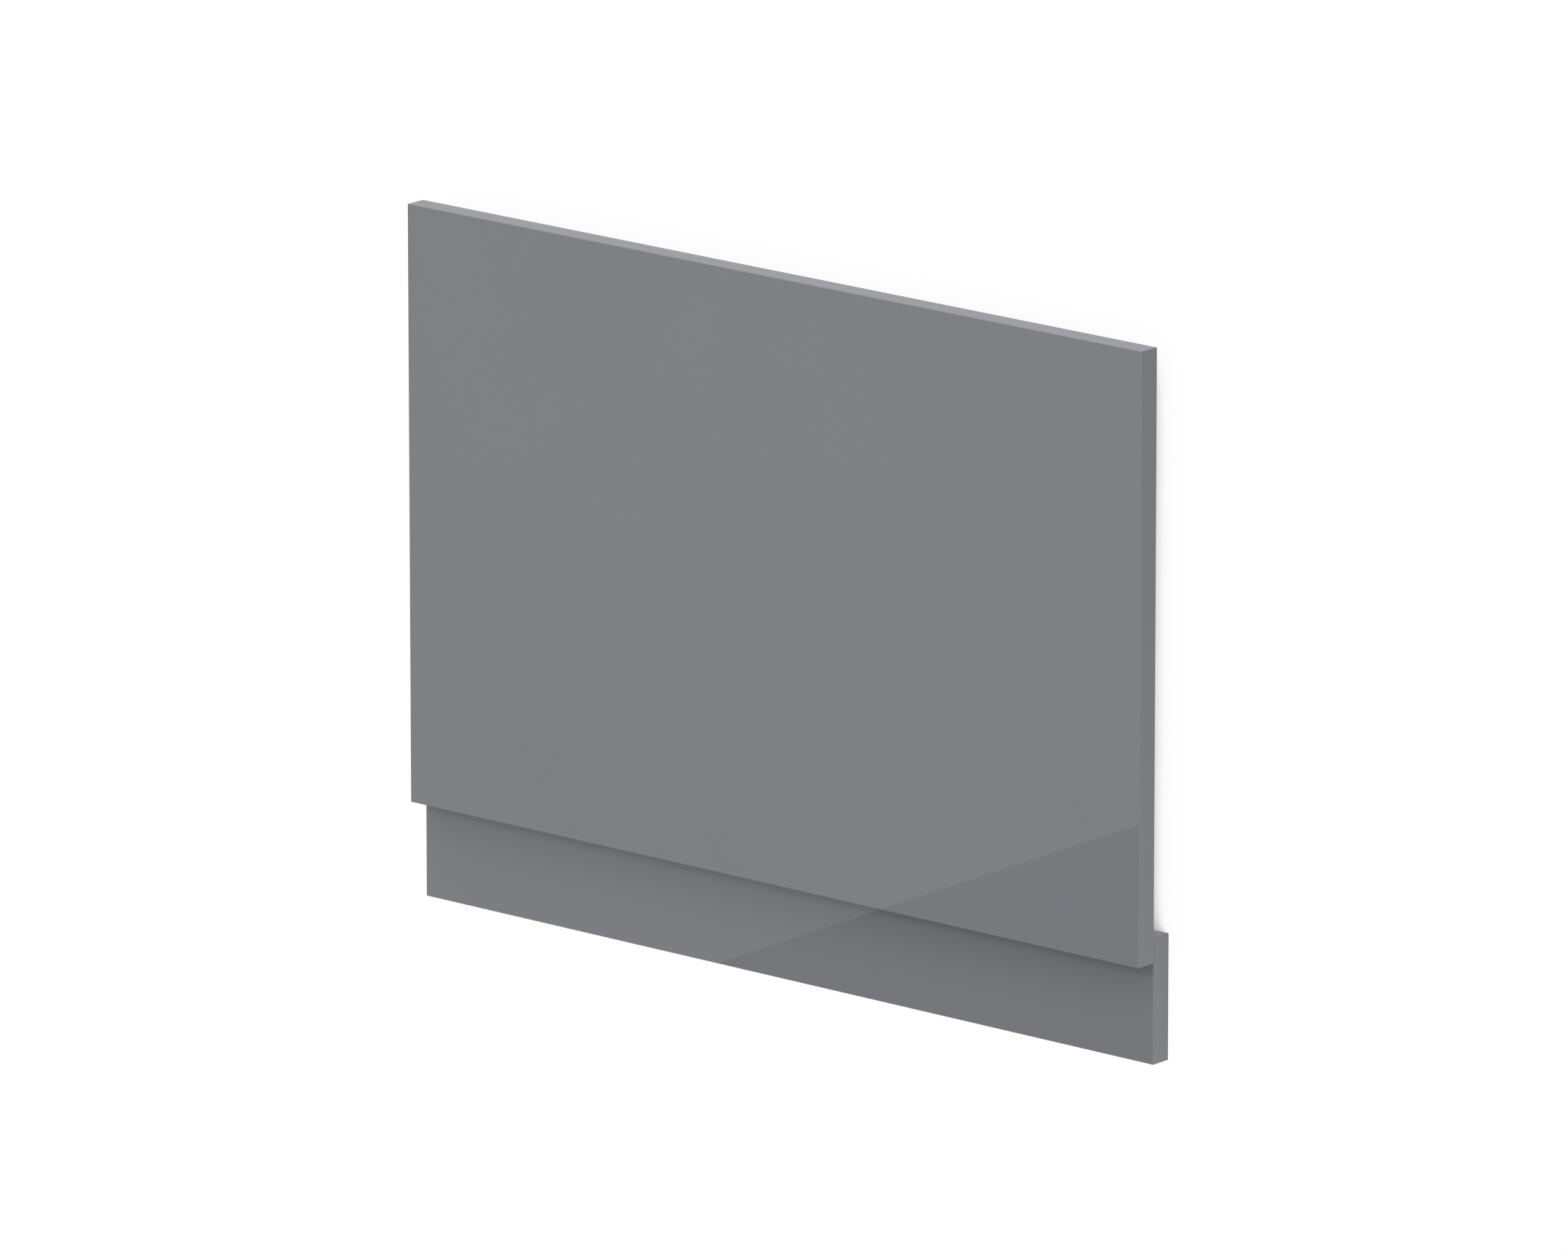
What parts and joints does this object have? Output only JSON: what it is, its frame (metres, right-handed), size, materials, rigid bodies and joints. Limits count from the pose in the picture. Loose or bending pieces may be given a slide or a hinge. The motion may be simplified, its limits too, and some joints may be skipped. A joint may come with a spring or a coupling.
{
  "type": "bath panel",
  "caption": "Plain rectangular end panel for a bath, with a recessed plinth board lapped behind its foot, in gloss grey.",
  "frame": {"origin": "middle of the footprint, on the surface that the panel lies on, which is the plane of the plinth's back face", "axes": "+X along the width, +Y from the plinth's foot towards the panel's top edge, +Z out of the finished face"},
  "size_m": [0.73, 0.56, 0.036],
  "materials": {
    "gloss_board": "gloss",
    "zinc_screw": "satin"
  },
  "bodies": {
    "root": {"main_panel": "gloss_board", "plinth": "gloss_board", "plinth_screw_1": "zinc_screw", "plinth_screw_2": "zinc_screw", "plinth_screw_3": "zinc_screw"}
  },
  "joints": []
}
